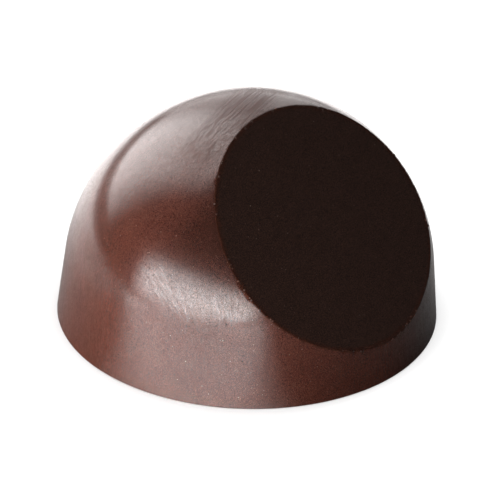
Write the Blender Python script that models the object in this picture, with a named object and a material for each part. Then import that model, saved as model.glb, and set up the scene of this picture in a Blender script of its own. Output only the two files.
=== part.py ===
"""A moulded dark chocolate praline: a low dome with one broad slanted flat.

The piece is one solid. A round foot rises as a drafted wall, which runs
tangent into a round crown. The crown leans a little to the front, and one
plane cuts a broad flat across the front and top. The rim of the flat and the
foot have small rounded edges. The piece stands on a flat base on the XY plane,
with the middle of the base at the origin and the slanted flat facing -Y.
Lengths are in metres and +Z is up.
"""

from math import cos, hypot, pi, radians, sin, sqrt, tan

import bmesh
import bpy
from mathutils import Vector

# Driving dimensions of the body.
BASE_DIAMETER = 0.0300
WALL_DRAFT = radians(6.6)
CROWN_CENTRE_HEIGHT = 0.0034
CROWN_LEAN = 0.0005

# Driving dimensions of the slanted flat: how steeply its face looks up, and
# how far its plane is from the middle of the base.
FLAT_TILT = radians(41.7)
FLAT_DISTANCE = 0.01317

# How far the small rounding of an edge reaches onto each face beside it.
ROUNDING_REACH = 0.00015
ROUNDING_STEPS = 3
EDGE_ANGLE = radians(25.0)

# Fineness of the skin: points round each ring, and rings from rim to foot.
ROUND_STEPS = 96
RING_STEPS = 20

# Finish.
CHOCOLATE_COLOUR = (0.031, 0.0125, 0.0085, 1.0)
CHOCOLATE_ROUGHNESS = 0.32

# Dimensions that follow from the driving ones.
BASE_RADIUS = BASE_DIAMETER / 2.0
WALL_SLOPE = tan(WALL_DRAFT)
CROWN_RADIUS = (BASE_RADIUS - CROWN_CENTRE_HEIGHT * WALL_SLOPE) * cos(WALL_DRAFT)
CROWN_CENTRE = Vector((0.0, 0.0, CROWN_CENTRE_HEIGHT))
HEIGHT = CROWN_CENTRE_HEIGHT + CROWN_RADIUS
SHOULDER_HEIGHT = CROWN_CENTRE_HEIGHT + CROWN_RADIUS * sin(WALL_DRAFT)
LEAN_SLOPE = CROWN_LEAN / HEIGHT


def remove_scene_objects():
    """Empty the scene of whatever it opened with."""
    for thing in list(bpy.data.objects):
        bpy.data.objects.remove(thing, do_unlink=True)


def chocolate_material():
    """Make the dark chocolate finish."""
    material = bpy.data.materials.new("dark_chocolate")
    material.use_nodes = True
    shader = material.node_tree.nodes["Principled BSDF"]
    shader.inputs["Base Color"].default_value = CHOCOLATE_COLOUR
    shader.inputs["Roughness"].default_value = CHOCOLATE_ROUGHNESS
    shader.inputs["Metallic"].default_value = 0.0
    return material


def wall_radius(height):
    """Radius of the upright body's wall at a height."""
    return BASE_RADIUS - height * WALL_SLOPE


def skin_point(direction):
    """Point where a ray from the crown's centre leaves the upright body.

    Above the shoulder the skin is the crown's sphere, and below it the wall's
    cone.
    """
    reach = hypot(direction.x, direction.y)
    if direction.z > reach * WALL_SLOPE:
        distance = CROWN_RADIUS / direction.length
    else:
        distance = wall_radius(CROWN_CENTRE_HEIGHT) / (reach + direction.z * WALL_SLOPE)
    return CROWN_CENTRE + direction * distance


def upright_flat():
    """Centre, downhill direction and radius of the flat on the upright body.

    Standing the leaning body upright shears the flat's plane as well. Where the
    plane cuts the crown's sphere, it leaves a circle of this centre and radius.
    """
    normal = Vector((0.0, -cos(FLAT_TILT), sin(FLAT_TILT) + LEAN_SLOPE * cos(FLAT_TILT)))
    distance = (FLAT_DISTANCE - normal.dot(CROWN_CENTRE)) / normal.length
    normal.normalize()
    centre = CROWN_CENTRE + normal * distance
    downhill = Vector((0.0, -normal.z, normal.y))
    return centre, downhill, sqrt(CROWN_RADIUS**2 - distance**2)


def rim_point(turn):
    """Point of the flat's rim on the upright body, at an angle from downhill."""
    centre, downhill, radius = upright_flat()
    outward = downhill * cos(turn) + Vector((1.0, 0.0, 0.0)) * sin(turn)
    point = centre + outward * radius
    if point.z >= SHOULDER_HEIGHT:
        return point
    # Below the shoulder the rim lies on the wall's cone.
    inner_radius = wall_radius(centre.z)
    square = outward.xy.length_squared - (outward.z * WALL_SLOPE) ** 2
    half_linear = centre.xy.dot(outward.xy) + inner_radius * outward.z * WALL_SLOPE
    constant = centre.xy.length_squared - inner_radius**2
    distance = (sqrt(half_linear**2 - square * constant) - half_linear) / square
    return centre + outward * distance


def foot_point(turn):
    """Point of the foot's edge, at an angle from the front."""
    return Vector((BASE_RADIUS * sin(turn), -BASE_RADIUS * cos(turn), 0.0))


def leaned(point):
    """Shift a point of the upright body forwards in proportion to its height."""
    return point - Vector((0.0, LEAN_SLOPE * point.z, 0.0))


def skin_ring(fraction):
    """Points of one ring on the skin, from 0 at the flat's rim to 1 at the foot.

    Each point is a fraction of the way along the arc between the directions in
    which the crown's centre sees the rim and the foot.
    """
    points = []
    for step in range(ROUND_STEPS):
        turn = 2.0 * pi * step / ROUND_STEPS
        to_rim = (rim_point(turn) - CROWN_CENTRE).normalized()
        to_foot = (foot_point(turn) - CROWN_CENTRE).normalized()
        points.append(leaned(skin_point(to_rim.slerp(to_foot, fraction))))
    return points


def build_body(mesh):
    """Join the rings with quads, and close the flat and the base with one face each."""
    rings = []
    for step in range(RING_STEPS + 1):
        rings.append([mesh.verts.new(point) for point in skin_ring(step / RING_STEPS)])
    for upper, lower in zip(rings, rings[1:]):
        for here in range(ROUND_STEPS):
            beside = (here + 1) % ROUND_STEPS
            mesh.faces.new((upper[here], lower[here], lower[beside], upper[beside]))
    mesh.faces.new(rings[0])
    mesh.faces.new(reversed(rings[-1]))
    bmesh.ops.recalc_face_normals(mesh, faces=mesh.faces[:])


def round_edges(praline):
    """Round the rim of the flat and the foot."""
    bevel = praline.modifiers.new("rounded_edges", "BEVEL")
    bevel.width = ROUNDING_REACH
    bevel.segments = ROUNDING_STEPS
    bevel.limit_method = "ANGLE"
    bevel.angle_limit = EDGE_ANGLE


def make_praline():
    """Build the praline as one closed body."""
    mesh = bmesh.new()
    build_body(mesh)
    data = bpy.data.meshes.new("praline")
    mesh.to_mesh(data)
    mesh.free()
    data.shade_smooth()
    data.set_sharp_from_angle(angle=EDGE_ANGLE)
    data.materials.append(chocolate_material())
    praline = bpy.data.objects.new("praline", data)
    bpy.context.scene.collection.objects.link(praline)
    round_edges(praline)


remove_scene_objects()
make_praline()
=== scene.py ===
"""A moulded dark chocolate praline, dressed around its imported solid.

The body is grown by a Geometry Nodes tree from the same few sizes as the solid:
a drafted wall, a crown that leans a little to the front, and a broad slanted
flat. A second tree sets small burrs along the flat's rim, and a third strews
fine flecks over the skin. Lengths are in metres, +Z is up, and the slanted flat
faces -Y.
"""

import logging
from dataclasses import dataclass
from enum import Enum
from math import cos, pi, radians, sin, sqrt, tan

import bpy
from mathutils import Matrix, Vector


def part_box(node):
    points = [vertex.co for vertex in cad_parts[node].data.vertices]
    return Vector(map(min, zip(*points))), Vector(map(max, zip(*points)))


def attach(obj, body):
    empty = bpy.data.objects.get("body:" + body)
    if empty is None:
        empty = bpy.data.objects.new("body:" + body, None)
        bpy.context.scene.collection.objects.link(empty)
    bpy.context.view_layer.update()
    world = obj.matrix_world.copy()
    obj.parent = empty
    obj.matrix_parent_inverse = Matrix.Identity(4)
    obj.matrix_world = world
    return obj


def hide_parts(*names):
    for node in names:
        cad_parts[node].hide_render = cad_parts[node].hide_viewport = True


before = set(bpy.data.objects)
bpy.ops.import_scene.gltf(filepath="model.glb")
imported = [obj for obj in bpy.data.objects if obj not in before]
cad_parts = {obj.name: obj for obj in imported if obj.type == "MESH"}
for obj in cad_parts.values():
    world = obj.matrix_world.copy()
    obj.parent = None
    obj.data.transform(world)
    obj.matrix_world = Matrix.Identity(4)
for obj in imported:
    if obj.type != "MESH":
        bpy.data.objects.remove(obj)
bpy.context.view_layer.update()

LOG = logging.getLogger("praline")

MM = 0.001
BODY_NODE = "praline"
ROOT_BODY = "root"

Number = float | int


class Reading:
    """One output of a node, which takes part in Python arithmetic."""

    def __init__(self, sheet: "NodeSheet", socket: bpy.types.NodeSocket) -> None:
        """Keep the output and the sheet that it belongs to."""
        self.sheet = sheet
        self.socket = socket

    def __add__(self, other: "Reading | Number") -> "Reading":
        """Add a value."""
        return self.sheet.math("ADD", self, other)

    def __radd__(self, other: Number) -> "Reading":
        """Add this to a number."""
        return self.sheet.math("ADD", other, self)

    def __sub__(self, other: "Reading | Number") -> "Reading":
        """Take a value away."""
        return self.sheet.math("SUBTRACT", self, other)

    def __rsub__(self, other: Number) -> "Reading":
        """Take this away from a number."""
        return self.sheet.math("SUBTRACT", other, self)

    def __mul__(self, other: "Reading | Number") -> "Reading":
        """Multiply by a value."""
        return self.sheet.math("MULTIPLY", self, other)

    def __rmul__(self, other: Number) -> "Reading":
        """Multiply a number by this."""
        return self.sheet.math("MULTIPLY", other, self)

    def __truediv__(self, other: "Reading | Number") -> "Reading":
        """Divide by a value."""
        return self.sheet.math("DIVIDE", self, other)

    def __rtruediv__(self, other: Number) -> "Reading":
        """Divide a number by this."""
        return self.sheet.math("DIVIDE", other, self)

    def __pow__(self, other: "Reading | Number") -> "Reading":
        """Raise to a power."""
        return self.sheet.math("POWER", self, other)

    def __neg__(self) -> "Reading":
        """Change the sign."""
        return self.sheet.math("MULTIPLY", self, -1.0)

    def __gt__(self, other: "Reading | Number") -> "Reading":
        """Give 1 where this is the greater, and 0 elsewhere."""
        return self.sheet.math("GREATER_THAN", self, other)

    def __lt__(self, other: "Reading | Number") -> "Reading":
        """Give 1 where this is the lesser, and 0 elsewhere."""
        return self.sheet.math("LESS_THAN", self, other)


Value = Reading | float | int | tuple | Vector | str | bool


class NodeSheet:
    """A node tree that is written as Python expressions."""

    def __init__(self, tree: bpy.types.NodeTree) -> None:
        """Start writing in a tree."""
        self.tree = tree

    def node(
        self,
        kind: str,
        settings: dict | None = None,
        inputs: dict | None = None,
        output: int | str = 0,
    ) -> Reading:
        """Add a node.

        Args:
            kind: The node's type.
            settings: Its own settings, set before its sockets. The key "stops"
                holds a ramp's places and colours.
            inputs: A value or a link for each input, by name or number.
            output: Which output to read.

        Returns:
            The output asked for.
        """
        made = self.tree.nodes.new(kind)
        for name, setting in (settings or {}).items():
            if name == "stops":
                self._set_stops(made.color_ramp.elements, setting)
            else:
                setattr(made, name, setting)
        for name, value in (inputs or {}).items():
            self._feed(made.inputs[name], value)
        return Reading(self, made.outputs[output])

    def _set_stops(self, elements: bpy.types.ColorRampElements, stops: list[tuple]) -> None:
        """Give a ramp its stops, each a place and a colour."""
        while len(elements) < len(stops):
            elements.new(1.0)
        for element, (place, colour) in zip(elements, stops):
            element.position = place
            element.color = (*colour, 1.0)

    def _feed(self, socket: bpy.types.NodeSocket, value: Value) -> None:
        """Link a reading to a socket, or set the socket's own value."""
        if isinstance(value, Reading):
            self.tree.links.new(value.socket, socket)
        else:
            socket.default_value = value

    def math(self, operation: str, *values: Reading | Number) -> Reading:
        """Work out numbers with one Math node."""
        return self.node("ShaderNodeMath", {"operation": operation}, dict(enumerate(values)))

    def smooth_less(self, first: Reading, second: Reading, width: Reading | Number) -> Reading:
        """The lesser of two values, blended over a width where they are close."""
        return self.math("SMOOTH_MIN", first, second, width)

    def vectors(self, operation: str, *values: Value) -> Reading:
        """Work out vectors with one Vector Math node."""
        return self.node("ShaderNodeVectorMath", {"operation": operation}, dict(enumerate(values)))

    def scaled(self, vector: Value, factor: Reading | Number) -> Reading:
        """A vector times a number."""
        return self.node("ShaderNodeVectorMath", {"operation": "SCALE"}, {"Vector": vector, "Scale": factor})

    def dot(self, first: Value, second: Value) -> Reading:
        """The dot product of two vectors."""
        inputs = {0: first, 1: second}
        return self.node("ShaderNodeVectorMath", {"operation": "DOT_PRODUCT"}, inputs, "Value")

    def length(self, vector: Value) -> Reading:
        """The length of a vector."""
        return self.node("ShaderNodeVectorMath", {"operation": "LENGTH"}, {0: vector}, "Value")

    def joined(self, x: Reading | Number, y: Reading | Number, z: Reading | Number) -> Reading:
        """A vector from its three parts."""
        return self.node("ShaderNodeCombineXYZ", None, {"X": x, "Y": y, "Z": z})

    def parts(self, vector: Reading) -> tuple[Reading, Reading, Reading]:
        """The three parts of a vector."""
        made = self.node("ShaderNodeSeparateXYZ", None, {0: vector})
        outputs = made.socket.node.outputs
        return Reading(self, outputs[0]), Reading(self, outputs[1]), Reading(self, outputs[2])

    def step(self, value: Reading, low: Number, high: Number) -> Reading:
        """Rise smoothly from 0 at one value to 1 at another."""
        settings = {"interpolation_type": "SMOOTHSTEP"}
        return self.node("ShaderNodeMapRange", settings, {"Value": value, "From Min": low, "From Max": high})

    def noise(self, vector: Reading, size: float, detail: float = 2.0, roughness: float = 0.5) -> Reading:
        """Smooth noise whose features are about one size across."""
        inputs = {"Vector": vector, "Scale": 1.0 / size, "Detail": detail, "Roughness": roughness}
        return self.node("ShaderNodeTexNoise", None, inputs)

    def between(self, factor: Reading | Number, first: Value, second: Value) -> Reading:
        """Mix two numbers."""
        return self.node("ShaderNodeMix", {"data_type": "FLOAT"}, {0: factor, 2: first, 3: second})

    def between_vectors(self, factor: Reading | Number, first: Value, second: Value) -> Reading:
        """Mix two vectors."""
        return self.node("ShaderNodeMix", {"data_type": "VECTOR"}, {0: factor, 4: first, 5: second}, 1)

    def between_colours(self, factor: Reading | Number, first: Value, second: Value) -> Reading:
        """Mix two colours."""
        return self.node("ShaderNodeMix", {"data_type": "RGBA"}, {0: factor, 6: first, 7: second}, 2)


class InputKind(Enum):
    """What a growth tree's input holds."""

    LENGTH = "NodeSocketFloat"
    COUNT = "NodeSocketInt"
    DIRECTION = "NodeSocketVector"
    MATERIAL = "NodeSocketMaterial"
    MESH = "NodeSocketGeometry"


class GrowthTree(NodeSheet):
    """A Geometry Nodes tree with named inputs, which grows one piece."""

    def __init__(self, name: str, inputs: dict[str, InputKind]) -> None:
        """Make the tree and its named inputs.

        Args:
            name: The tree's name.
            inputs: What each named input holds.
        """
        super().__init__(bpy.data.node_groups.new(name, "GeometryNodeTree"))
        self.identifiers: dict[str, str] = {}
        for label, kind in inputs.items():
            item = self.tree.interface.new_socket(name=label, in_out="INPUT", socket_type=kind.value)
            self.identifiers[label] = item.identifier
        self.tree.interface.new_socket(name="Geometry", in_out="OUTPUT", socket_type="NodeSocketGeometry")
        self.source = self.tree.nodes.new("NodeGroupInput")

    def given(self, label: str) -> Reading:
        """The value of a named input."""
        return Reading(self, self.source.outputs[label])

    def close(self, geometry: Reading, material: Reading) -> None:
        """End the tree with real faces in their material."""
        real = self.node("GeometryNodeRealizeInstances", None, {"Geometry": geometry})
        painted = self.node("GeometryNodeSetMaterial", None, {"Geometry": real, "Material": material})
        sink = self.tree.nodes.new("NodeGroupOutput")
        self.tree.links.new(painted.socket, sink.inputs[0])

    def grow(self, name: str, values: dict[str, Value], seedbed: bpy.types.Mesh | None = None) -> bpy.types.Object:
        """Run the tree once and keep the result as a plain mesh.

        Args:
            name: The finished piece's name.
            values: A value for each named input.
            seedbed: The mesh that the tree starts from, if any.

        Returns:
            The piece, with no modifier left on it.
        """
        piece = bpy.data.objects.new(name, seedbed or bpy.data.meshes.new(name))
        bpy.context.scene.collection.objects.link(piece)
        modifier = piece.modifiers.new("growth", "NODES")
        modifier.node_group = self.tree
        for label, value in values.items():
            modifier[self.identifiers[label]] = value
        depsgraph = bpy.context.evaluated_depsgraph_get()
        grown = bpy.data.meshes.new_from_object(
            piece.evaluated_get(depsgraph), preserve_all_data_layers=True, depsgraph=depsgraph
        )
        piece.modifiers.remove(modifier)
        piece.data = grown
        grown.name = name
        return piece


@dataclass(frozen=True)
class PralineForm:
    """The sizes that fix the praline's shape.

    Args:
        base_radius: Radius of the foot, where the wall would meet the base.
        height: Height of the crown above the base.
        wall_draft: How far the wall is from upright, in radians.
        crown_lean: How far the crown's top is in front of the base's middle.
        flat_tilt: How steeply the flat's face looks up, in radians.
        flat_distance: Distance of the flat's plane from the base's middle.
    """

    base_radius: float
    height: float
    wall_draft: float = radians(6.6)
    crown_lean: float = 0.5 * MM
    flat_tilt: float = radians(41.7)
    flat_distance: float = 13.17 * MM

    @classmethod
    def from_box(cls, low: Vector, high: Vector, foot_rounding: float) -> "PralineForm":
        """Work out the form from the solid's box.

        Args:
            low: Lowest corner of the box.
            high: Highest corner of the box.
            foot_rounding: How far up the wall the foot's rounding reaches.

        Returns:
            The form.
        """
        half_width = (high.x - low.x) / 2.0
        return cls(half_width + foot_rounding * tan(cls.wall_draft), high.z - low.z)

    @property
    def wall_slope(self) -> float:
        """How much the wall comes in for each unit that it rises."""
        return tan(self.wall_draft)

    @property
    def crown_centre_height(self) -> float:
        """Height of the crown's centre, where the wall runs tangent into the crown."""
        return (self.height - self.base_radius * cos(self.wall_draft)) / (1.0 - sin(self.wall_draft))

    @property
    def crown_radius(self) -> float:
        """Radius of the crown's sphere."""
        return self.height - self.crown_centre_height

    @property
    def shoulder_height(self) -> float:
        """Height at which the wall meets the crown."""
        return self.crown_centre_height + self.crown_radius * sin(self.wall_draft)

    @property
    def lean_slope(self) -> float:
        """How far each level shifts forwards for each unit of its height."""
        return self.crown_lean / self.height

    @property
    def crown_centre(self) -> Vector:
        """Centre of the crown on the upright body."""
        return Vector((0.0, 0.0, self.crown_centre_height))

    @property
    def flat_normal(self) -> Vector:
        """Direction in which the flat faces."""
        return Vector((0.0, -cos(self.flat_tilt), sin(self.flat_tilt)))

    @property
    def upright_normal(self) -> Vector:
        """Direction in which the flat faces on the upright body, with its length kept."""
        rise = sin(self.flat_tilt) + self.lean_slope * cos(self.flat_tilt)
        return Vector((0.0, -cos(self.flat_tilt), rise))

    @property
    def flat_depth(self) -> float:
        """Distance of the flat's plane from the crown's centre on the upright body."""
        normal = self.upright_normal
        return (self.flat_distance - normal.dot(self.crown_centre)) / normal.length

    @property
    def flat_radius(self) -> float:
        """Radius of the circle that the flat cuts from the crown."""
        return sqrt(self.crown_radius**2 - self.flat_depth**2)


@dataclass(frozen=True)
class WipeMark:
    """A patch of fine arcs, left where the mould was wiped round a point.

    Args:
        centre: Point about which the arcs turn.
        radius: Distance of the middle arc from that point.
        reach: How far the arcs extend to each side of the middle one.
        heading: Direction from the centre to the middle of the patch.
        half_angle: Angle from the heading at which the arcs fade out, in radians.
        spacing: Distance from one arc to the next.
        depth: Depth of the grooves.
        dulling: How much the patch loses of its gloss, from 0 to 1.
        grain: How many times longer than wide the grooves are.
    """

    centre: Vector
    radius: float
    reach: float
    heading: Vector
    half_angle: float
    spacing: float = 0.17 * MM
    depth: float = 0.0030 * MM
    dulling: float = 0.0
    grain: float = 10.0

    @classmethod
    def through(cls, start: Vector, end: Vector, bend: Vector, width: float, **finish: float) -> "WipeMark":
        """Lay a patch from one point to another.

        Args:
            start: Where the patch starts.
            end: Where it ends.
            bend: Point about which its arcs turn.
            width: Width of the patch.
            **finish: Spacing, depth and dulling, where they differ.

        Returns:
            The patch.
        """
        heading = ((start + end) / 2.0 - bend).normalized()
        radius = ((start - bend).length + (end - bend).length) / 2.0
        half_angle = (start - bend).angle(end - bend) * 0.75
        return cls(bend, radius, width / 2.0, heading, half_angle, **finish)


def at_mm(x: float, y: float, z: float) -> Vector:
    """A point given in millimetres."""
    return Vector((x, y, z)) * MM


WIPE_MARKS = (
    WipeMark.through(at_mm(-13.2, -1.7, 9.4), at_mm(-12.4, -7.2, 6.0), at_mm(-14.9, 1.3, 0.3), 3.2 * MM),
    WipeMark.through(
        at_mm(-10.7, -8.5, 8.8), at_mm(-10.9, -9.2, 6.2), at_mm(-15.5, -3.0, 6.5), 3.0 * MM, spacing=0.22 * MM
    ),
    WipeMark.through(
        at_mm(-7.0, -0.4, 16.1),
        at_mm(2.5, 1.0, 17.6),
        at_mm(-7.3, 19.4, 15.6),
        4.6 * MM,
        spacing=0.17 * MM,
        depth=0.0110 * MM,
        dulling=1.0,
        grain=4.0,
    ),
    WipeMark.through(at_mm(12.6, 0.0, 9.0), at_mm(9.5, 8.6, 8.0), at_mm(14.0, 9.0, 17.0), 3.0 * MM),
    WipeMark.through(at_mm(3.0, 13.2, 6.0), at_mm(-5.0, 12.0, 8.0), at_mm(-1.0, 13.0, -3.0), 3.4 * MM),
    WipeMark.through(at_mm(2.0, 7.0, 15.4), at_mm(7.0, 3.0, 15.0), at_mm(12.0, 14.0, 20.0), 2.6 * MM, dulling=0.4),
)


# Painted shade: the place where the skin's colour is darkened beside the rim of the flat, standing in for less light
# falling there.
PAINTED_SHADE_PLACE = at_mm(-9.4, -6.4, 12.4)
PAINTED_SHADE_REACH = 6.0 * MM
PAINTED_SHADE_DEPTH = 0.55


@dataclass(frozen=True)
class PitCluster:
    """A place where small air pits opened in the skin.

    Args:
        centre: Middle of the place.
        reach: How far from the middle the pits are found.
    """

    centre: Vector
    reach: float


PIT_CLUSTERS = (
    PitCluster(at_mm(-10.0, -10.7, 3.4), 1.5 * MM),
    PitCluster(at_mm(-11.4, -8.6, 6.7), 1.2 * MM),
    PitCluster(at_mm(6.0, 13.0, 4.0), 1.8 * MM),
    PitCluster(at_mm(12.8, -4.0, 8.0), 1.4 * MM),
)


class ShaderSheet(NodeSheet):
    """A material's node tree."""

    def __init__(self, name: str) -> None:
        """Make an empty material with a Principled shader."""
        self.material = bpy.data.materials.new(name)
        self.material.use_nodes = True
        super().__init__(self.material.node_tree)
        self.shader = self.tree.nodes["Principled BSDF"]

    def dress(self, **values: Value) -> None:
        """Set or link the shader's own sockets, with underscores for spaces."""
        for name, value in values.items():
            self._feed(self.shader.inputs[name.replace("_", " ")], value)

    def place(self) -> Reading:
        """The point of the surface in the object's own frame."""
        return self.node("ShaderNodeTexCoord", None, None, "Object")

    def attribute(self, name: str) -> Reading:
        """A number stored on the mesh."""
        return self.node("ShaderNodeAttribute", {"attribute_name": name}, None, "Fac")

    def dots(self, vector: Reading, pitch: float, radius: float) -> Reading:
        """Scattered dots, 1 at each middle and 0 beyond their radius."""
        inputs = {"Vector": vector, "Scale": 1.0 / pitch}
        distance = self.node("ShaderNodeTexVoronoi", None, inputs, "Distance")
        return 1.0 - self.step(distance, radius * 0.4 / pitch, radius / pitch)

    def chance(self, vector: Reading, pitch: float, share: float) -> Reading:
        """Pick a share of the same scattered dots."""
        inputs = {"Vector": vector, "Scale": 1.0 / pitch}
        colour = self.node("ShaderNodeTexVoronoi", None, inputs, "Color")
        return self.parts(colour)[0] < share


@dataclass(frozen=True)
class DarkChocolate:
    """Dark chocolate from a polished mould, with a duller slanted flat.

    Args:
        colour: Colour of the moulded skin.
        flat_colour: Colour of the slanted flat.
        lip_colour: Colour of the thin lip round the flat.
        gloss_tint: Tint of the gloss.
        polish: Share of the skin that took the mould's full polish.
        polish_roughness: Roughness of the polish.
        roughness: Roughness of the moulded skin under the polish.
        flat_roughness: Roughness of the flat.
        grain: Size of the skin's fine grain.
        grain_depth: Depth of that grain.
        lip_width: Width of the thin lip.
    """

    colour: tuple[float, float, float, float] = (0.055, 0.0165, 0.0105, 1.0)
    flat_colour: tuple[float, float, float, float] = (0.0295, 0.0140, 0.0102, 1.0)
    lip_colour: tuple[float, float, float, float] = (0.034, 0.0115, 0.0070, 1.0)
    gloss_tint: tuple[float, float, float, float] = (1.0, 0.95, 0.93, 1.0)
    polish: float = 0.70
    polish_roughness: float = 0.11
    roughness: float = 0.25
    flat_roughness: float = 0.42
    grain: float = 0.07 * MM
    grain_depth: float = 0.003 * MM
    lip_width: float = 0.20 * MM

    def wipe(self, sheet: ShaderSheet, place: Reading, mark: WipeMark) -> tuple[Reading, Reading]:
        """Draw one patch of arcs.

        Args:
            sheet: The material's node tree.
            place: The point of the surface.
            mark: The patch.

        Returns:
            The arcs, from -0.5 to 0.5, and how much the patch is dulled.
        """
        arm = sheet.vectors("SUBTRACT", place, mark.centre)
        distance = sheet.length(arm)
        off_middle = sheet.math("ABSOLUTE", distance - mark.radius)
        across = 1.0 - sheet.step(off_middle, mark.reach * 0.4, mark.reach)
        facing = sheet.dot(sheet.vectors("NORMALIZE", arm), mark.heading)
        along = sheet.step(facing, cos(mark.half_angle), cos(mark.half_angle * 0.55))
        patch = across * along
        # Each groove is long along its arc and narrow across it.
        sideways = mark.heading.orthogonal().normalized()
        third = mark.heading.cross(sideways)
        long_axis = sheet.dot(arm, sideways + third) / (mark.spacing * mark.grain)
        warp = sheet.noise(place, 1.6 * MM, 1.0) * 0.8
        track = sheet.joined(distance / mark.spacing + warp, long_axis, 0.0)
        inputs = {"Vector": track, "Scale": 1.0, "Detail": 2.0, "Roughness": 0.6}
        groove = sheet.node("ShaderNodeTexNoise", None, inputs, "Fac")
        streaked = patch * (sheet.step(groove, 0.46, 0.56) * 0.8 + 0.2)
        return (groove - 0.5) * patch, streaked * mark.dulling

    def material(self) -> bpy.types.Material:
        """Make the material."""
        sheet = ShaderSheet("moulded_dark_chocolate")
        place = sheet.place()
        gap = sheet.attribute("rim_gap")
        height_up = sheet.parts(place)[2]

        # Where the flat, its lip and the base are.
        on_flat = sheet.step(gap, -0.01 * MM, 0.05 * MM)
        lip_wander = sheet.noise(place, 0.7 * MM, 2.0) * self.lip_width * 1.6
        lip = 1.0 - sheet.step(sheet.math("ABSOLUTE", gap - 0.03 * MM), lip_wander * 0.6, lip_wander)
        on_base = 1.0 - sheet.step(height_up, 0.02 * MM, 0.10 * MM)

        # Slow changes of tone, and fine grain.
        cloud = sheet.noise(place, 4.5 * MM, 3.0, 0.6)
        mottle = sheet.noise(place, 0.9 * MM, 3.0, 0.6)
        grain = sheet.noise(place, self.grain, 1.0)
        fine_grain = sheet.noise(place, self.grain * 0.5, 1.0)
        upright = sheet.vectors("MULTIPLY", place, Vector((1.0, 1.0, 0.12)))
        strokes = sheet.step(sheet.noise(upright, 0.16 * MM, 2.0), 0.30, 0.70) - 0.5

        # Grooves of the wipe marks, with the gloss that some of them take away.
        grooves = (cloud - 0.5) * (0.010 * MM)
        arcs = 0.0
        dulled = 0.0
        for mark in WIPE_MARKS:
            traces, dulling = self.wipe(sheet, place, mark)
            arcs = arcs + traces
            grooves = grooves + traces * (mark.depth * 4.0)
            dulled = sheet.math("MAXIMUM", dulled, dulling)

        # Air pits, crowded in a few places and rare elsewhere.
        crowded = 0.0
        for cluster in PIT_CLUSTERS:
            off = sheet.length(sheet.vectors("SUBTRACT", place, cluster.centre))
            near = 1.0 - sheet.step(off, cluster.reach * 0.5, cluster.reach)
            crowded = sheet.math("MAXIMUM", crowded, near)
        pit = sheet.dots(place, 0.62 * MM, 0.11 * MM)
        pit = pit * sheet.chance(place, 0.62 * MM, 0.55) * crowded
        rare_pit = sheet.dots(place, 1.9 * MM, 0.10 * MM) * sheet.chance(place, 1.9 * MM, 0.22)
        pits = sheet.math("MAXIMUM", pit, rare_pit) * (1.0 - on_base)

        # Drag lines where the mould's back was scraped.
        drag_frame = sheet.vectors("MULTIPLY", place, Vector((0.06, 1.0, 1.0)))
        drag = sheet.noise(drag_frame, 0.35 * MM, 3.0, 0.6)

        # Painted shade: the skin's colour darkens towards one place beside the flat's rim, standing in for less
        # light there.
        off = sheet.length(sheet.vectors("SUBTRACT", place, PAINTED_SHADE_PLACE))
        painted_shade = (1.0 - sheet.step(off, 0.0, PAINTED_SHADE_REACH)) * PAINTED_SHADE_DEPTH

        skin = sheet.between_colours(
            sheet.step(cloud, 0.3, 0.7), self._shade(self.colour, 0.90), self._shade(self.colour, 1.10)
        )
        flat = sheet.between_colours(
            sheet.step(mottle, 0.3, 0.7), self._shade(self.flat_colour, 0.94), self._shade(self.flat_colour, 1.06)
        )
        # Painted shade darkens the skin's colour here.
        skin = sheet.scaled(skin, 1.0 - painted_shade)
        colour = sheet.between_colours(on_flat, skin, flat)
        colour = sheet.between_colours(lip, colour, self.lip_colour)
        speckle = (grain + fine_grain - 1.0) * sheet.between(on_flat, 2.6, 4.2) + 1.0
        # Inside the pits the colour is darkened by three quarters: painted shade in their hollows.
        colour = sheet.scaled(colour, sheet.math("MAXIMUM", speckle, 0.1) * (1.0 - pits * 0.75))

        roughness = sheet.between(on_flat, self.roughness + (mottle - 0.5) * 0.06, self.flat_roughness)
        roughness = roughness + (fine_grain - 0.5) * 0.16 + dulled * 0.10 - lip * 0.05
        roughness = sheet.between(on_base, roughness, 0.5)
        polish = self.polish + (grain - 0.5) * 2.0 + (fine_grain - 0.5) * 2.2 + arcs * 2.0 + strokes * 0.3
        polish = polish * (1.0 - dulled * 0.85) * (1.0 - pits) * (1.0 - lip) * (1.0 - on_flat) * (1.0 - on_base)

        height = grooves * (1.0 - on_flat)
        height = height + (grain + fine_grain * 0.6) * self.grain_depth
        height = height - pits * (0.03 * MM)
        height = height + drag * on_base * (0.03 * MM)
        bumped = sheet.node("ShaderNodeBump", None, {"Strength": 1.0, "Distance": 1.0, "Height": height}, "Normal")
        sheet.dress(
            Base_Color=colour,
            Roughness=roughness,
            Coat_Weight=sheet.math("MAXIMUM", polish, 0.0),
            Coat_Roughness=self.polish_roughness,
            Normal=bumped,
            IOR=1.5,
            Specular_IOR_Level=0.25,
            Specular_Tint=self.gloss_tint,
        )
        return sheet.material

    def _shade(self, colour: tuple[float, float, float, float], factor: float) -> tuple[float, float, float, float]:
        """A lighter or darker shade of a colour."""
        red, green, blue, _ = colour
        return (red * factor, green * factor, blue * factor, 1.0)


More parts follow.
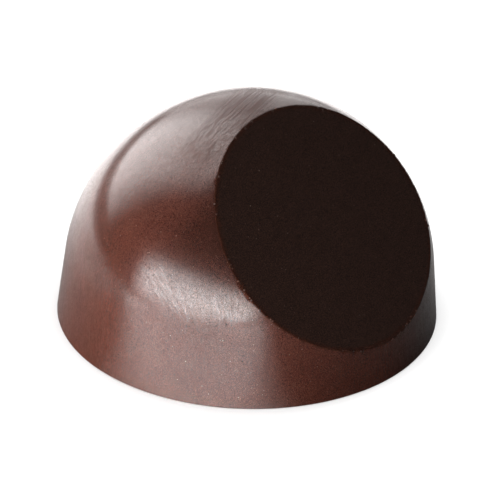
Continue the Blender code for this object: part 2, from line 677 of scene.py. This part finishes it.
@dataclass(frozen=True)
class PralineBody:
    """The praline's body, as one closed skin.

    Args:
        form: The sizes that fix its shape.
        rim_rounding: How much the flat's rim is rounded.
        foot_rounding: How much the foot is rounded.
        waviness: How much the skin wanders from its true form.
        chip_depth: Depth of the chips in the flat's rim.
        chip_place: Where the rim is chipped the most.
        chip_reach: How far from there it is chipped.
        turn_steps: Points round each ring.
        flat_rings: Rings on the flat.
        skin_rings: Rings from the flat's rim to the foot.
        base_rings: Rings on the base.
    """

    form: PralineForm
    rim_rounding: float = 0.09 * MM
    foot_rounding: float = 0.40 * MM
    waviness: float = 0.03 * MM
    chip_depth: float = 0.16 * MM
    chip_place: Vector = Vector((-2.4, -14.3, 3.8)) * MM
    chip_reach: float = 3.2 * MM
    turn_steps: int = 540
    flat_rings: int = 26
    skin_rings: int = 112
    base_rings: int = 22

    def tree(self) -> GrowthTree:
        """Write the tree that grows the body.

        Rays leave the crown's centre towards points on rings about the flat's
        middle. Each ray stops at the nearest of the skin, the flat and the
        base, and the three are blended where they meet.

        Returns:
            The tree.
        """
        tree = GrowthTree(
            "body_growth",
            {
                "Base Radius": InputKind.LENGTH,
                "Wall Slope": InputKind.LENGTH,
                "Crown Radius": InputKind.LENGTH,
                "Crown Centre Height": InputKind.LENGTH,
                "Shoulder Height": InputKind.LENGTH,
                "Lean Slope": InputKind.LENGTH,
                "Flat Normal": InputKind.DIRECTION,
                "Flat Depth": InputKind.LENGTH,
                "Flat Radius": InputKind.LENGTH,
                "Rim Rounding": InputKind.LENGTH,
                "Foot Rounding": InputKind.LENGTH,
                "Waviness": InputKind.LENGTH,
                "Chip Depth": InputKind.LENGTH,
                "Chip Place": InputKind.DIRECTION,
                "Chip Reach": InputKind.LENGTH,
                "Turn Steps": InputKind.COUNT,
                "Flat Rings": InputKind.COUNT,
                "Skin Rings": InputKind.COUNT,
                "Base Rings": InputKind.COUNT,
                "Material": InputKind.MATERIAL,
            },
        )
        base_radius = tree.given("Base Radius")
        wall_slope = tree.given("Wall Slope")
        centre_height = tree.given("Crown Centre Height")
        centre = tree.joined(0.0, 0.0, centre_height)
        normal = tree.given("Flat Normal")
        flat_rings = tree.given("Flat Rings")
        skin_rings = tree.given("Skin Rings")
        base_rings = tree.given("Base Rings")
        ring_count = flat_rings + skin_rings + base_rings

        grid = tree.node(
            "GeometryNodeMeshGrid",
            None,
            {
                "Size X": 1.0,
                "Size Y": 1.0,
                "Vertices X": tree.given("Turn Steps") + 1.0,
                "Vertices Y": ring_count + 1.0,
            },
        )
        across, along, _ = tree.parts(tree.node("GeometryNodeInputPosition"))
        turn = (0.5 - across) * (2.0 * pi)
        ring = (along + 0.5) * ring_count
        turn_cos = tree.math("COSINE", turn)
        turn_sin = tree.math("SINE", turn)

        # The rim of the flat, on the crown's sphere or lower down on the wall's cone.
        _, normal_y, normal_z = tree.parts(normal)
        flat_centre = tree.vectors("ADD", centre, tree.scaled(normal, tree.given("Flat Depth")))
        _, middle_y, middle_z = tree.parts(flat_centre)
        outward_x = turn_sin
        outward_y = -normal_z * turn_cos
        outward_z = normal_y * turn_cos
        inner_radius = base_radius - middle_z * wall_slope
        square = outward_x**2.0 + outward_y * outward_y - (outward_z * wall_slope) * (outward_z * wall_slope)
        half_linear = middle_y * outward_y + inner_radius * outward_z * wall_slope
        constant = middle_y * middle_y - inner_radius * inner_radius
        wall_reach = (tree.math("SQRT", half_linear * half_linear - square * constant) - half_linear) / square
        circle_reach = tree.given("Flat Radius")
        on_wall = tree.given("Shoulder Height") > middle_z + outward_z * circle_reach
        rim_reach = tree.between(on_wall, circle_reach, wall_reach)
        outward = tree.joined(outward_x, outward_y, outward_z)

        # The three zones: the flat from its middle out, the skin down to the foot,
        # and the base in to its middle. Rings crowd together at both edges.
        flat_share = tree.math("MINIMUM", ring / flat_rings, 1.0)
        flat_share = 1.0 - (1.0 - flat_share) * (1.0 - flat_share)
        skin_share = tree.step(ring, flat_rings, flat_rings + skin_rings) * 0.6
        skin_even = tree.math("MAXIMUM", ring - flat_rings, 0.0) / skin_rings
        skin_share = skin_share + tree.math("MINIMUM", skin_even, 1.0) * 0.4
        base_share = tree.math("MAXIMUM", ring - flat_rings - skin_rings, 0.0) / base_rings
        base_share = base_share * base_share

        foot = tree.joined(turn_sin * base_radius, -turn_cos * base_radius, 0.0)
        rim_arm = tree.vectors("SUBTRACT", tree.vectors("ADD", flat_centre, tree.scaled(outward, rim_reach)), centre)
        foot_arm = tree.vectors("SUBTRACT", foot, centre)
        to_rim = tree.vectors("NORMALIZE", rim_arm)
        to_foot = tree.vectors("NORMALIZE", foot_arm)
        sweep = tree.math("ARCCOSINE", tree.dot(to_rim, to_foot))
        to_skin = tree.vectors(
            "ADD",
            tree.scaled(to_rim, tree.math("SINE", (1.0 - skin_share) * sweep)),
            tree.scaled(to_foot, tree.math("SINE", skin_share * sweep)),
        )
        to_flat = tree.vectors(
            "SUBTRACT",
            tree.vectors("ADD", flat_centre, tree.scaled(outward, rim_reach * flat_share)),
            centre,
        )
        to_base = tree.vectors("SUBTRACT", tree.scaled(foot, 1.0 - base_share), centre)
        in_skin = ring > flat_rings
        in_base = ring > flat_rings + skin_rings
        aim = tree.between_vectors(in_base, tree.between_vectors(in_skin, to_flat, to_skin), to_base)
        ray = tree.vectors("NORMALIZE", aim)

        # How far each ray runs.
        ray_x, ray_y, ray_z = tree.parts(ray)
        level_reach = tree.math("SQRT", ray_x * ray_x + ray_y * ray_y)
        wall_closing = tree.math("MAXIMUM", level_reach + ray_z * wall_slope, 0.01)
        wall_distance = (base_radius - centre_height * wall_slope) / wall_closing
        above_shoulder = ray_z > level_reach * wall_slope
        skin_distance = tree.between(above_shoulder, wall_distance, tree.given("Crown Radius"))
        facing = tree.math("MAXIMUM", tree.dot(ray, normal), 0.01)
        flat_distance = tree.given("Flat Depth") / facing
        sinking = tree.math("MAXIMUM", -ray_z, 0.01)
        base_distance = centre_height / sinking

        # A slow waviness of the skin, and small chips along the flat's rim.
        sharp = tree.math("MINIMUM", skin_distance, flat_distance)
        spot = tree.vectors("ADD", centre, tree.scaled(ray, sharp))
        wave = (tree.noise(spot, 5.0 * MM) - 0.5) * tree.given("Waviness")
        skin_distance = skin_distance + wave
        rim_gap = skin_distance - flat_distance
        off_place = tree.length(tree.vectors("SUBTRACT", spot, tree.given("Chip Place")))
        near_place = 1.0 - tree.step(off_place, 0.0, tree.given("Chip Reach"))
        along_rim = 1.0 - tree.step(tree.math("ABSOLUTE", rim_gap), 0.0, 0.26 * MM)
        chip_shape = tree.step(tree.noise(spot, 0.55 * MM), 0.46, 0.72)
        chips = chip_shape * along_rim * (0.22 + near_place * 0.78) * tree.given("Chip Depth")

        distance = tree.smooth_less(skin_distance, flat_distance, tree.given("Rim Rounding")) - chips
        distance = tree.smooth_less(distance, base_distance, tree.given("Foot Rounding"))
        upright = tree.vectors("ADD", centre, tree.scaled(ray, distance))
        upright_x, upright_y, upright_z = tree.parts(upright)
        leaned = tree.joined(upright_x, upright_y - upright_z * tree.given("Lean Slope"), upright_z)

        measured = tree.node(
            "GeometryNodeStoreNamedAttribute",
            {"data_type": "FLOAT", "domain": "POINT"},
            {"Geometry": grid, "Name": "rim_gap", "Value": rim_gap},
        )
        placed = tree.node("GeometryNodeSetPosition", None, {"Geometry": measured, "Position": leaned})
        closed = tree.node("GeometryNodeMergeByDistance", None, {"Geometry": placed, "Distance": 0.5e-6})
        smooth = tree.node("GeometryNodeSetShadeSmooth", None, {"Geometry": closed})
        tree.close(smooth, tree.given("Material"))
        return tree

    def build(self, finish: DarkChocolate) -> bpy.types.Object:
        """Grow the body and put it in the solid's place.

        Args:
            finish: The chocolate it is made of.

        Returns:
            The finished piece.
        """
        form = self.form
        piece = self.tree().grow(
            "praline_body",
            {
                "Base Radius": form.base_radius,
                "Wall Slope": form.wall_slope,
                "Crown Radius": form.crown_radius,
                "Crown Centre Height": form.crown_centre_height,
                "Shoulder Height": form.shoulder_height,
                "Lean Slope": form.lean_slope,
                "Flat Normal": form.upright_normal.normalized(),
                "Flat Depth": form.flat_depth,
                "Flat Radius": form.flat_radius,
                "Rim Rounding": self.rim_rounding,
                "Foot Rounding": self.foot_rounding,
                "Waviness": self.waviness,
                "Chip Depth": self.chip_depth,
                "Chip Place": self.chip_place,
                "Chip Reach": self.chip_reach,
                "Turn Steps": self.turn_steps,
                "Flat Rings": self.flat_rings,
                "Skin Rings": self.skin_rings,
                "Base Rings": self.base_rings,
                "Material": finish.material(),
            },
        )
        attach(piece, ROOT_BODY)
        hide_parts(BODY_NODE)
        return piece


@dataclass(frozen=True)
class Crumb:
    """The shape shared by small bits of chocolate.

    Args:
        smallest: Radius of the smallest.
        largest: Radius of the largest.
        flatness: Height of each as a share of its width.
    """

    smallest: float
    largest: float
    flatness: float


class CrumbTree(GrowthTree):
    """A tree that strews small bits of chocolate over a body."""

    def __init__(self, name: str) -> None:
        """Make the tree with its inputs."""
        super().__init__(
            name,
            {
                "Body": InputKind.MESH,
                "Density": InputKind.LENGTH,
                "Band": InputKind.LENGTH,
                "Smallest": InputKind.LENGTH,
                "Largest": InputKind.LENGTH,
                "Flatness": InputKind.LENGTH,
                "Seed": InputKind.COUNT,
                "Material": InputKind.MATERIAL,
            },
        )

    def chance(self, low: Number | Reading, high: Number | Reading, offset: int) -> Reading:
        """A random number for each bit."""
        inputs = {2: low, 3: high, "Seed": self.given("Seed") + offset}
        return self.node("FunctionNodeRandomValue", {"data_type": "FLOAT"}, inputs, 1)

    def strew(self, density: Reading) -> None:
        """Set the bits on the body and close the tree.

        Args:
            density: How many there are on each unit of area.
        """
        scattered = self.node(
            "GeometryNodeDistributePointsOnFaces",
            {"distribute_method": "RANDOM"},
            {"Mesh": self.given("Body"), "Density": density, "Seed": self.given("Seed")},
        )
        normal = Reading(self, scattered.socket.node.outputs["Normal"])
        upright = self.node("FunctionNodeAlignRotationToVector", {"axis": "Z"}, {"Vector": normal})
        lump = self.node("GeometryNodeMeshIcoSphere", None, {"Radius": 1.0, "Subdivisions": 2})
        place = self.node("GeometryNodeInputPosition")
        bulge = self.noise(place, 1.1, 1.0) - 0.5
        lumpy = self.node(
            "GeometryNodeSetPosition", None, {"Geometry": lump, "Offset": self.scaled(place, bulge * 0.9)}
        )
        width = self.chance(self.given("Smallest"), self.given("Largest"), 1)
        length = width * self.chance(0.7, 1.6, 2)
        placed = self.node(
            "GeometryNodeInstanceOnPoints",
            None,
            {
                "Points": scattered,
                "Instance": lumpy,
                "Rotation": upright,
                "Scale": self.joined(width, length, width * self.given("Flatness")),
            },
        )
        turned = self.node(
            "GeometryNodeRotateInstances",
            None,
            {"Instances": placed, "Rotation": self.joined(0.0, 0.0, self.chance(0.0, 2.0 * pi, 3))},
        )
        toned = self.node(
            "GeometryNodeStoreNamedAttribute",
            {"data_type": "FLOAT", "domain": "INSTANCE"},
            {"Geometry": turned, "Name": "tone", "Value": self.chance(0.0, 1.0, 4)},
        )
        self.close(toned, self.given("Material"))


@dataclass(frozen=True)
class RimBurrs:
    """Small burrs of chocolate left along the rim of the flat.

    Args:
        count: About how many there are.
        band: How far from the rim they reach.
        crumb: Their shape.
        seed: Seed of their places.
    """

    count: int = 90
    band: float = 0.10 * MM
    crumb: Crumb = Crumb(0.035 * MM, 0.085 * MM, 0.8)
    seed: int = 11

    def build(self, body: bpy.types.Object, form: PralineForm, finish: "CrumbChocolate") -> bpy.types.Object:
        """Grow the burrs on the body.

        Args:
            body: The praline's finished body.
            form: Its sizes.
            finish: The chocolate that the burrs are made of.

        Returns:
            The finished piece.
        """
        tree = CrumbTree("burr_growth")
        gap = tree.node("GeometryNodeInputNamedAttribute", {"data_type": "FLOAT"}, {"Name": "rim_gap"})
        near = 1.0 - tree.step(tree.math("ABSOLUTE", gap), tree.given("Band") * 0.5, tree.given("Band"))
        tree.strew(tree.given("Density") * near)
        rim_area = 2.0 * pi * form.flat_radius * self.band * 3.0
        return grow_crumbs(tree, "rim_burrs", body, self.crumb, self.count / rim_area, self.band, self.seed, finish)


@dataclass(frozen=True)
class SkinFlecks:
    """Fine flecks of chocolate dust on the skin and the flat.

    Args:
        count: About how many there are.
        foot_band: How far up the foot they begin.
        crumb: Their shape.
        seed: Seed of their places.
    """

    count: int = 700
    foot_band: float = 0.6 * MM
    crumb: Crumb = Crumb(0.014 * MM, 0.034 * MM, 0.5)
    seed: int = 5

    def build(self, body: bpy.types.Object, form: PralineForm, finish: "CrumbChocolate") -> bpy.types.Object:
        """Grow the flecks on the body.

        Args:
            body: The praline's finished body.
            form: Its sizes.
            finish: The chocolate that the flecks are made of.

        Returns:
            The finished piece.
        """
        tree = CrumbTree("fleck_growth")
        height = tree.parts(tree.node("GeometryNodeInputPosition"))[2]
        tree.strew(tree.given("Density") * (height > tree.given("Band")))
        skin_area = 2.0 * pi * form.base_radius * form.height
        return grow_crumbs(
            tree, "skin_flecks", body, self.crumb, self.count / skin_area, self.foot_band, self.seed, finish
        )


def grow_crumbs(
    tree: CrumbTree,
    name: str,
    body: bpy.types.Object,
    crumb: Crumb,
    density: float,
    band: float,
    seed: int,
    finish: "CrumbChocolate",
) -> bpy.types.Object:
    """Run a crumb tree on a body.

    Args:
        tree: The finished tree.
        name: The piece's name.
        body: The body that carries the bits.
        crumb: Their shape.
        density: How many there are on each unit of area.
        band: Where they begin or end.
        seed: Seed of their places.
        finish: The chocolate that they are made of.

    Returns:
        The finished piece.
    """
    piece = tree.grow(
        name,
        {
            "Density": density,
            "Band": band,
            "Smallest": crumb.smallest,
            "Largest": crumb.largest,
            "Flatness": crumb.flatness,
            "Seed": seed,
            "Material": finish.material(),
        },
        seedbed=body.data.copy(),
    )
    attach(piece, ROOT_BODY)
    return piece


@dataclass(frozen=True)
class CrumbChocolate:
    """Chocolate in small bits, each with its own tone.

    Args:
        name: The material's name.
        dark: Colour of the darkest bits.
        pale: Colour of the palest bits.
        roughness: Roughness of the bits.
    """

    name: str
    dark: tuple[float, float, float, float]
    pale: tuple[float, float, float, float]
    roughness: float = 0.45

    def material(self) -> bpy.types.Material:
        """Make the material."""
        sheet = ShaderSheet(self.name)
        place = sheet.place()
        tone = sheet.attribute("tone")
        colour = sheet.between_colours(tone * tone, self.dark, self.pale)
        grain = sheet.noise(place, 0.02 * MM)
        bumped = sheet.node(
            "ShaderNodeBump", None, {"Strength": 1.0, "Distance": 1.0, "Height": grain * (0.002 * MM)}
        )
        sheet.dress(
            Base_Color=sheet.scaled(colour, 0.7 + grain * 0.6),
            Roughness=self.roughness + (grain - 0.5) * 0.2,
            Normal=bumped,
            IOR=1.5,
        )
        return sheet.material


def towards(azimuth: float, elevation: float) -> Vector:
    """Direction at an angle round the praline from its front, and above the horizon."""
    return Vector((sin(azimuth) * cos(elevation), -cos(azimuth) * cos(elevation), sin(elevation)))


@dataclass(frozen=True)
class Viewpoint:
    """Where the camera stands.

    Args:
        azimuth: Angle round the praline, from its front towards +X, in radians.
        elevation: Angle above the horizon, in radians.
        distance: Distance from the point looked at.
        aim_height: Height of the point looked at.
        aim_side: How far that point is to the camera's right of the middle.
        roll: How far the camera is turned about its own line of sight.
        lens: Focal length in millimetres.
    """

    azimuth: float = radians(-45.1)
    elevation: float = radians(29.52)
    distance: float = 210.0 * MM
    aim_height: float = 5.12 * MM
    aim_side: float = 0.116 * MM
    roll: float = radians(1.62)
    lens: float = 193.2

    def place_camera(self) -> bpy.types.Object:
        """Make the camera and give it to the scene."""
        camera = bpy.data.objects.new("camera", bpy.data.cameras.new("camera"))
        bpy.context.scene.collection.objects.link(camera)
        bpy.context.scene.camera = camera
        camera.data.lens = self.lens
        camera.data.clip_start = self.distance * 0.01
        camera.data.clip_end = self.distance * 100.0
        back = towards(self.azimuth, self.elevation)
        side = Vector((cos(self.azimuth), sin(self.azimuth), 0.0))
        camera.location = Vector((0.0, 0.0, self.aim_height)) + side * self.aim_side + back * self.distance
        turned = (-back).to_track_quat("-Z", "Y").to_matrix().to_4x4()
        turned = turned @ Matrix.Rotation(self.roll, 4, "Z")
        camera.rotation_euler = turned.to_euler()
        return camera


@dataclass(frozen=True)
class PaleSheet:
    """A wide pale sheet of matt paper under the praline.

    Args:
        name: Its name.
        height: Height of its surface.
        seen: Whether the camera sees it. The praline mirrors a sheet that is not seen.
        width: Length of each side.
        colour: Colour of its matt surface.
    """

    name: str
    height: float = 0.0
    seen: bool = True
    width: float = 3.0
    colour: tuple[float, float, float, float] = (0.80, 0.80, 0.80, 1.0)

    def build(self) -> bpy.types.Object:
        """Lay the sheet."""
        mesh = bpy.data.meshes.new(self.name)
        half = self.width / 2.0
        turns = ((-half, -half), (half, -half), (half, half), (-half, half))
        mesh.from_pydata([(across, along, self.height) for across, along in turns], [], [(0, 1, 2, 3)])
        material = bpy.data.materials.new(self.name + "_paper")
        material.use_nodes = True
        shader = material.node_tree.nodes["Principled BSDF"]
        shader.inputs["Base Color"].default_value = self.colour
        shader.inputs["Roughness"].default_value = 0.9
        shader.inputs["Specular IOR Level"].default_value = 0.0
        mesh.materials.append(material)
        sheet = bpy.data.objects.new(self.name, mesh)
        bpy.context.scene.collection.objects.link(sheet)
        sheet.visible_camera = self.seen
        sheet.visible_glossy = sheet.visible_diffuse = not self.seen
        sheet.visible_shadow = False
        return sheet


WARM_WHITE = (1.0, 0.962, 0.952)


class Subject(Enum):
    """What a light is kept to."""

    FLOOR = "floor"
    BOUNCE_SHEET = "bounce_sheet"
    PRALINE = "praline"


@dataclass(frozen=True)
class SoftLight:
    """A flat soft light, which may fade towards its edges.

    Args:
        name: What the light does.
        side: Angle round the praline from the camera, towards its right, in radians.
        elevation: Angle above the horizon, in radians.
        distance: Distance from the point that the light faces.
        width: Width of the light.
        height: Height of the light.
        radiance: Brightness of its middle.
        tint: Colour of its light.
        aim_height: Height of the point that it faces.
        aim_reach: How far that point is from the praline's middle, on the light's own side.
        roll: How far the light is turned about its line of sight, in radians.
        spread: Full angle of its beam, in radians.
        side_fade: Share of its width over which its left and right edges fade.
        top_fade: Share of its height over which its top edge fades.
        foot_fade: Share of its height over which its bottom edge fades.
        mirrored: Whether its reflection is seen, or was taken out with a polariser.
        subject: What it lights, with the rest flagged off.
    """

    name: str
    side: float
    elevation: float
    distance: float
    width: float
    height: float
    radiance: float
    tint: tuple[float, float, float] = (1.0, 1.0, 1.0)
    aim_height: float = 8.0 * MM
    aim_reach: float = 0.0
    roll: float = 0.0
    spread: float = pi
    side_fade: float = 0.0
    top_fade: float = 0.0
    foot_fade: float = 0.0
    mirrored: bool = True
    subject: Subject = Subject.PRALINE

    def build(self, view: Viewpoint, groups: dict[Subject, bpy.types.Collection]) -> bpy.types.Object:
        """Hang the light.

        Args:
            view: Where the camera stands.
            groups: The objects of each subject that a light can be kept to.

        Returns:
            The light.
        """
        data = bpy.data.lights.new(self.name, "AREA")
        data.shape = "RECTANGLE"
        data.size = self.width
        data.size_y = self.height
        data.energy = self.radiance * self.width * self.height * pi
        data.spread = self.spread
        data.color = self.tint
        if self.side_fade > 0.0 and self.top_fade > 0.0:
            self._fade_edges(data)
        light = bpy.data.objects.new(self.name, data)
        bpy.context.scene.collection.objects.link(light)
        azimuth = view.azimuth + self.side
        aim = towards(azimuth, 0.0) * self.aim_reach + Vector((0.0, 0.0, self.aim_height))
        stand = Matrix.Translation(aim + towards(azimuth, self.elevation) * self.distance)
        heading = Matrix.Rotation(azimuth, 4, "Z") @ Matrix.Rotation(pi / 2.0 - self.elevation, 4, "X")
        light.matrix_world = stand @ heading @ Matrix.Rotation(self.roll, 4, "Z")
        light.visible_camera = False
        light.visible_glossy = self.mirrored
        light.light_linking.receiver_collection = groups[self.subject]
        light.light_linking.blocker_collection = groups[Subject.PRALINE]
        return light

    def _fade_edges(self, data: bpy.types.Light) -> None:
        """Dim the light smoothly towards its edges."""
        data.use_nodes = True
        sheet = NodeSheet(data.node_tree)
        across, up, _ = sheet.parts(sheet.node("ShaderNodeNewGeometry", None, None, "Parametric"))
        from_side = 0.5 - sheet.math("ABSOLUTE", across - 0.5)
        glow = sheet.step(from_side, 0.0, self.side_fade) * sheet.step(1.0 - up, 0.0, self.top_fade)
        if self.foot_fade > 0.0:
            glow = glow * sheet.step(up, 0.0, self.foot_fade)
        emission = sheet.tree.nodes["Emission"]
        sheet.tree.links.new(glow.socket, emission.inputs["Strength"])


@dataclass(frozen=True)
class Studio:
    """A pale floor, soft lights and a dim room.

    Args:
        floor: The floor.
        bounce_sheet: The sheet beneath it, which the praline mirrors.
        lights: The soft lights.
        room: Brightness of the room.
    """

    floor: PaleSheet = PaleSheet("floor")
    bounce_sheet: PaleSheet = PaleSheet("bounce_sheet", height=-0.01 * MM, seen=False)
    lights: tuple[SoftLight, ...] = (
        SoftLight(
            "key_box",
            radians(-135.0),
            radians(45.0),
            500.0 * MM,
            690.0 * MM,
            780.0 * MM,
            3.25,
            tint=WARM_WHITE,
            aim_height=12.0 * MM,
            roll=radians(1.0),
            side_fade=0.38,
            top_fade=0.24,
        ),
        SoftLight(
            "key_scrim",
            radians(-160.0),
            radians(34.0),
            520.0 * MM,
            900.0 * MM,
            640.0 * MM,
            1.05,
            tint=WARM_WHITE,
            aim_height=35.0 * MM,
            side_fade=0.20,
            top_fade=0.30,
        ),
        SoftLight(
            "floor_scrim",
            radians(-160.0),
            radians(24.0),
            520.0 * MM,
            900.0 * MM,
            440.0 * MM,
            1.6,
            tint=WARM_WHITE,
            aim_height=46.0 * MM,
            side_fade=0.20,
            top_fade=0.30,
            subject=Subject.BOUNCE_SHEET,
        ),
        SoftLight(
            "floor_sky",
            0.0,
            radians(90.0),
            400.0 * MM,
            1000.0 * MM,
            1000.0 * MM,
            2.6,
            aim_height=0.0,
            subject=Subject.FLOOR,
        ),
        SoftLight(
            "back_card",
            radians(169.0),
            0.0,
            500.0 * MM,
            554.0 * MM,
            70.0 * MM,
            0.8,
            tint=WARM_WHITE,
            aim_height=35.0 * MM,
        ),
        SoftLight(
            "left_fill",
            radians(-130.0),
            radians(13.0),
            400.0 * MM,
            320.0 * MM,
            180.0 * MM,
            9.0,
            tint=WARM_WHITE,
            aim_height=10.0 * MM,
            mirrored=False,
        ),
        SoftLight(
            "right_fill",
            radians(70.0),
            radians(40.0),
            400.0 * MM,
            200.0 * MM,
            200.0 * MM,
            0.25,
            aim_height=10.0 * MM,
            mirrored=False,
        ),
        SoftLight(
            "bounce_fill",
            radians(-60.0),
            radians(-30.0),
            200.0 * MM,
            200.0 * MM,
            120.0 * MM,
            6.0,
            mirrored=False,
        ),
        SoftLight(
            "front_card",
            radians(-32.0),
            0.0,
            100.0 * MM,
            186.0 * MM,
            71.0 * MM,
            10.2,
            aim_height=15.5 * MM,
            roll=radians(-6.0),
            side_fade=0.24,
            top_fade=0.50,
            foot_fade=0.50,
        ),
        SoftLight(
            "front_floor_lamp",
            radians(-31.5),
            radians(90.0),
            60.0 * MM,
            70.0 * MM,
            78.0 * MM,
            4.3,
            aim_height=0.0,
            aim_reach=61.2 * MM,
            roll=radians(-48.5),
            spread=radians(9.0),
            subject=Subject.BOUNCE_SHEET,
        ),
        SoftLight(
            "card_foot_lamp",
            radians(-31.5),
            radians(90.0),
            60.0 * MM,
            150.0 * MM,
            36.0 * MM,
            1.3,
            aim_height=0.0,
            aim_reach=86.0 * MM,
            spread=radians(40.0),
            subject=Subject.BOUNCE_SHEET,
        ),
        SoftLight(
            "left_floor_lamp",
            radians(-126.0),
            radians(90.0),
            70.0 * MM,
            150.0 * MM,
            130.0 * MM,
            1.05,
            tint=WARM_WHITE,
            aim_height=0.0,
            aim_reach=89.0 * MM,
            spread=radians(30.0),
            subject=Subject.BOUNCE_SHEET,
        ),
        SoftLight(
            "back_floor_lamp",
            radians(172.0),
            radians(90.0),
            90.0 * MM,
            500.0 * MM,
            150.0 * MM,
            1.3,
            tint=WARM_WHITE,
            aim_height=0.0,
            aim_reach=93.0 * MM,
            spread=radians(25.0),
            side_fade=0.30,
            top_fade=0.05,
            subject=Subject.BOUNCE_SHEET,
        ),
    )
    room: float = 0.06

    def build(self, view: Viewpoint, pieces: list[bpy.types.Object]) -> None:
        """Set up the studio round the praline.

        Args:
            view: Where the camera stands.
            pieces: The praline's pieces.
        """
        members = {
            Subject.FLOOR: [self.floor.build()],
            Subject.BOUNCE_SHEET: [self.bounce_sheet.build()],
            Subject.PRALINE: pieces,
        }
        groups = {}
        for subject, things in members.items():
            groups[subject] = bpy.data.collections.new(subject.value + "_alone")
            for thing in things:
                groups[subject].objects.link(thing)
        for light in self.lights:
            light.build(view, groups)
        world = bpy.data.worlds.new("dim_room")
        world.use_nodes = True
        world.node_tree.nodes["Background"].inputs["Strength"].default_value = self.room
        world.node_tree.nodes["Background"].inputs["Color"].default_value = (1.0, 1.0, 1.0, 1.0)
        bpy.context.scene.world = world
        bpy.context.scene.view_settings.view_transform = "Standard"


def main() -> None:
    """Build the praline and its studio in order."""
    form = PralineForm.from_box(*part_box(BODY_NODE), foot_rounding=0.15 * MM)
    body = PralineBody(form).build(DarkChocolate())
    burr_chocolate = CrumbChocolate("burr_chocolate", (0.030, 0.0110, 0.0075, 1.0), (0.110, 0.040, 0.024, 1.0))
    burrs = RimBurrs().build(body, form, burr_chocolate)
    fleck_chocolate = CrumbChocolate("fleck_chocolate", (0.060, 0.024, 0.016, 1.0), (0.22, 0.15, 0.12, 1.0))
    flecks = SkinFlecks().build(body, form, fleck_chocolate)
    pieces = [body, burrs, flecks]
    for piece in pieces:
        triangles = sum(len(face.vertices) - 2 for face in piece.data.polygons)
        LOG.info("%s: %d triangles", piece.name, triangles)
    view = Viewpoint()
    view.place_camera()
    Studio().build(view, pieces)


if __name__ == "__main__":
    logging.basicConfig(level=logging.INFO, format="%(name)s: %(message)s")
    main()
